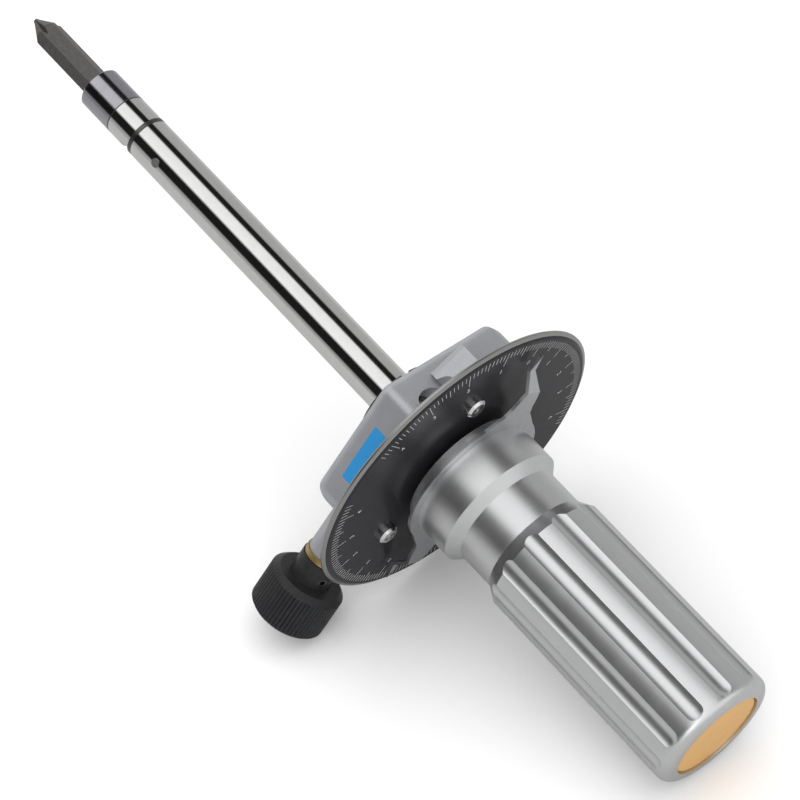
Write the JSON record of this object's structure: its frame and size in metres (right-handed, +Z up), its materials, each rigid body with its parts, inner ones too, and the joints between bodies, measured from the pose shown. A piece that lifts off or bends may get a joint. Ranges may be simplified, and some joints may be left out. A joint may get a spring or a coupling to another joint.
{
  "type": "torque screwdriver",
  "caption": "Dial torque screwdriver with a fluted grip, a round dial plate with a bent pointer, a worm-set zero knob, a long tube shaft and a magnetic bit holder.",
  "frame": {"origin": "tip of the bit, on the tool axis", "axes": "+Z up as the tool lies on its dial rim, grip end and knob; +X level, in the upright plane of the tool axis, towards the bit"},
  "size_m": [0.2465, 0.0897, 0.0837],
  "materials": {
    "tool_steel": "dark hardened steel",
    "bright_steel": "bright zinc-plated steel",
    "chrome": "mirror chrome",
    "brass": "turned brass",
    "cast_aluminium": "sand-blasted casting",
    "satin_aluminium": "satin turned aluminium",
    "dial": "gloss black face with white graduations and a bare bevelled rim",
    "black_knob": "black anodised with straight knurl",
    "end_plastic": "tan plastic disc"
  },
  "bodies": {
    "shaft": {"hex_bit": "tool_steel", "bit_socket": "bright_steel", "socket_magnet": "bright_steel", "socket_ball": "bright_steel", "socket_clip": "bright_steel", "retaining_ring": "bright_steel", "cross_pin": "bright_steel", "shaft_tube": "chrome", "torsion_bar": "tool_steel", "shaft_circlip": "tool_steel", "worm_wheel": "brass", "wheel_pin": "bright_steel", "thrust_washer": "brass", "spacer_tube": "bright_steel", "torsion_anchor": "bright_steel", "anchor_screw": "tool_steel"},
    "sleeve": {"holder_sleeve": "bright_steel"},
    "handle": {"handle": "satin_aluminium", "handle_bush": "brass", "pointer_plate": "satin_aluminium", "pointer_hub": "satin_aluminium", "anchor_nut": "bright_steel", "end_disc": "end_plastic"},
    "housing": {"housing_casting": "cast_aluminium", "front_bush": "brass", "front_ring": "satin_aluminium", "dial_plate": "dial", "dial_screw_1": "bright_steel", "dial_screw_2": "bright_steel", "dial_screw_3": "bright_steel", "brass_bush": "brass", "worm_end_bush": "brass"},
    "knob": {"knob": "black_knob", "knob_set_screw": "tool_steel", "worm_shaft": "bright_steel"}
  },
  "joints": [
    {"name": "sleeve_pull", "type": "slide", "parent": "shaft", "child": "sleeve", "axis": [0.9638, 0, 0.2665], "range_m": [0, 0.003], "stiffness_N_per_m": 600},
    {"name": "torque_twist", "type": "hinge", "parent": "shaft", "child": "handle", "pos_m": [0, 0, 0], "axis": [-0.9638, 0, -0.2665], "range_deg": [-140, 140], "stiffness_Nm_per_rad": 1.2},
    {"name": "zero_set", "type": "hinge", "parent": "shaft", "child": "housing", "pos_m": [0, 0, 0], "axis": [-0.9638, 0, -0.2665], "range_deg": [-20, 20]},
    {"name": "knob_turn", "type": "hinge", "parent": "housing", "child": "knob", "pos_m": [-0.14114, 0.0388, -0.07174], "axis": [0.2193, 0.5684, -0.793], "range_deg": [-640, 640]}
  ],
  "couplings": [
    {"joint": "knob_turn", "follows": "zero_set", "ratio": 32}
  ]
}
